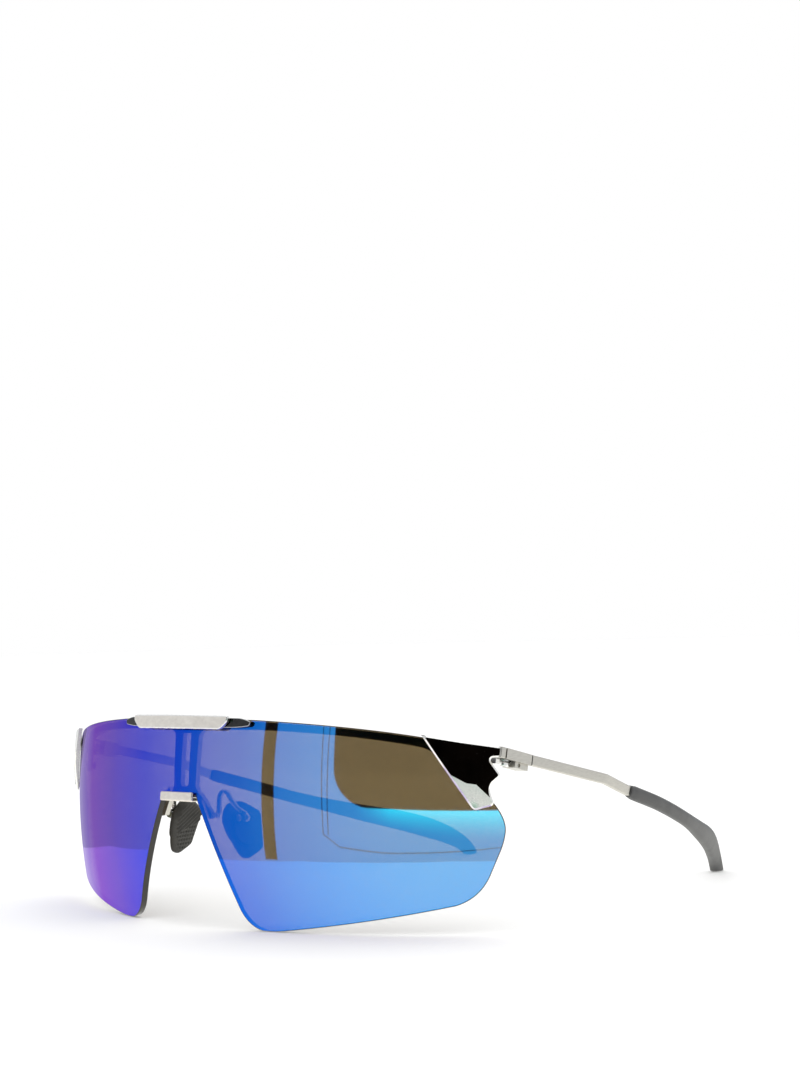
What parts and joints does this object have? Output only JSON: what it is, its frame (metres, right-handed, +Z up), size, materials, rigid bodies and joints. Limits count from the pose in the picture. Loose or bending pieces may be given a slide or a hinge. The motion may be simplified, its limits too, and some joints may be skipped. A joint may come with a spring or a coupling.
{
  "type": "wraparound shield sunglasses",
  "caption": "Rimless wraparound shield sunglasses: one mirrored lens on a metal brow frame, sprung folding temples with rubber earpieces, rocking nose pads.",
  "frame": {"origin": "middle of the whole object's box, on the surface that the open glasses stand on", "axes": "+X to the wearer's left, +Y from the lens back to the temple tips, +Z up; the glasses stand on both lens lobes and both temple tips"},
  "size_m": [0.1372, 0.144, 0.045],
  "materials": {
    "mirrored_lens": "blue multilayer mirror on brown polycarbonate",
    "satin_steel": "fine satin",
    "polished_chrome": "mirror polish",
    "fastener_steel": "machined",
    "spring_steel": "drawn wire",
    "sleeve_rubber": "smooth satin rubber",
    "pad_rubber": "matte, ribbed and dimpled",
    "pad_core_plastic": "moulded"
  },
  "bodies": {
    "front": {"shield_lens": "mirrored_lens", "brow_frame": "satin_steel", "brow_clip": "polished_chrome", "brow_plate": "satin_steel", "bridge_clip": "satin_steel", "brow_screw_left": "fastener_steel", "brow_screw_right": "fastener_steel", "end_screw_upper_left": "fastener_steel", "end_screw_lower_left": "fastener_steel", "end_screw_upper_right": "fastener_steel", "end_screw_lower_right": "fastener_steel", "end_plate_left": "polished_chrome", "end_plate_right": "polished_chrome", "hinge_block_left": "fastener_steel", "hinge_block_right": "fastener_steel", "hinge_screw_left": "fastener_steel", "hinge_screw_right": "fastener_steel", "nose_arm_left": "satin_steel", "nose_arm_right": "satin_steel", "nose_pad_screw_left": "fastener_steel", "nose_pad_screw_right": "fastener_steel"},
    "left_hinge_plunger": {"hinge_plunger_left": "fastener_steel", "hinge_spring_left": "spring_steel"},
    "left_temple": {"spring_housing_left": "satin_steel", "temple_strip_left": "satin_steel", "temple_sleeve_left": "sleeve_rubber"},
    "right_hinge_plunger": {"hinge_plunger_right": "fastener_steel", "hinge_spring_right": "spring_steel"},
    "right_temple": {"spring_housing_right": "satin_steel", "temple_strip_right": "satin_steel", "temple_sleeve_right": "sleeve_rubber"},
    "left_nose_pad": {"nose_pad_left": "pad_rubber", "nose_pad_core_left": "pad_core_plastic"},
    "right_nose_pad": {"nose_pad_right": "pad_rubber", "nose_pad_core_right": "pad_core_plastic"}
  },
  "joints": [
    {"name": "left_temple_fold", "type": "hinge", "parent": "front", "child": "left_hinge_plunger", "pos_m": [0.0655, -0.04033, 0.03586], "axis": [0, 0.2334, 0.9724], "range_deg": [0, 80]},
    {"name": "left_temple_spring", "type": "slide", "parent": "left_hinge_plunger", "child": "left_temple", "axis": [0, 0.9724, -0.2334], "range_m": [0, 0.0009], "stiffness_N_per_m": 900, "springref_m": -0.0006, "deforming": ["hinge_spring_left"]},
    {"name": "right_temple_fold", "type": "hinge", "parent": "front", "child": "right_hinge_plunger", "pos_m": [-0.0655, -0.04033, 0.03586], "axis": [0, -0.2334, -0.9724], "range_deg": [0, 70]},
    {"name": "right_temple_spring", "type": "slide", "parent": "right_hinge_plunger", "child": "right_temple", "axis": [0, 0.9724, -0.2334], "range_m": [0, 0.0009], "stiffness_N_per_m": 900, "springref_m": -0.0006, "deforming": ["hinge_spring_right"]},
    {"name": "left_pad_rock", "type": "hinge", "parent": "front", "child": "left_nose_pad", "pos_m": [0.01153, -0.06218, 0.02275], "axis": [0.1994, 0.9799, 0], "range_deg": [-6, 6]},
    {"name": "right_pad_rock", "type": "hinge", "parent": "front", "child": "right_nose_pad", "pos_m": [-0.01153, -0.06218, 0.02275], "axis": [0.1994, -0.9799, 0], "range_deg": [-6, 6]}
  ]
}
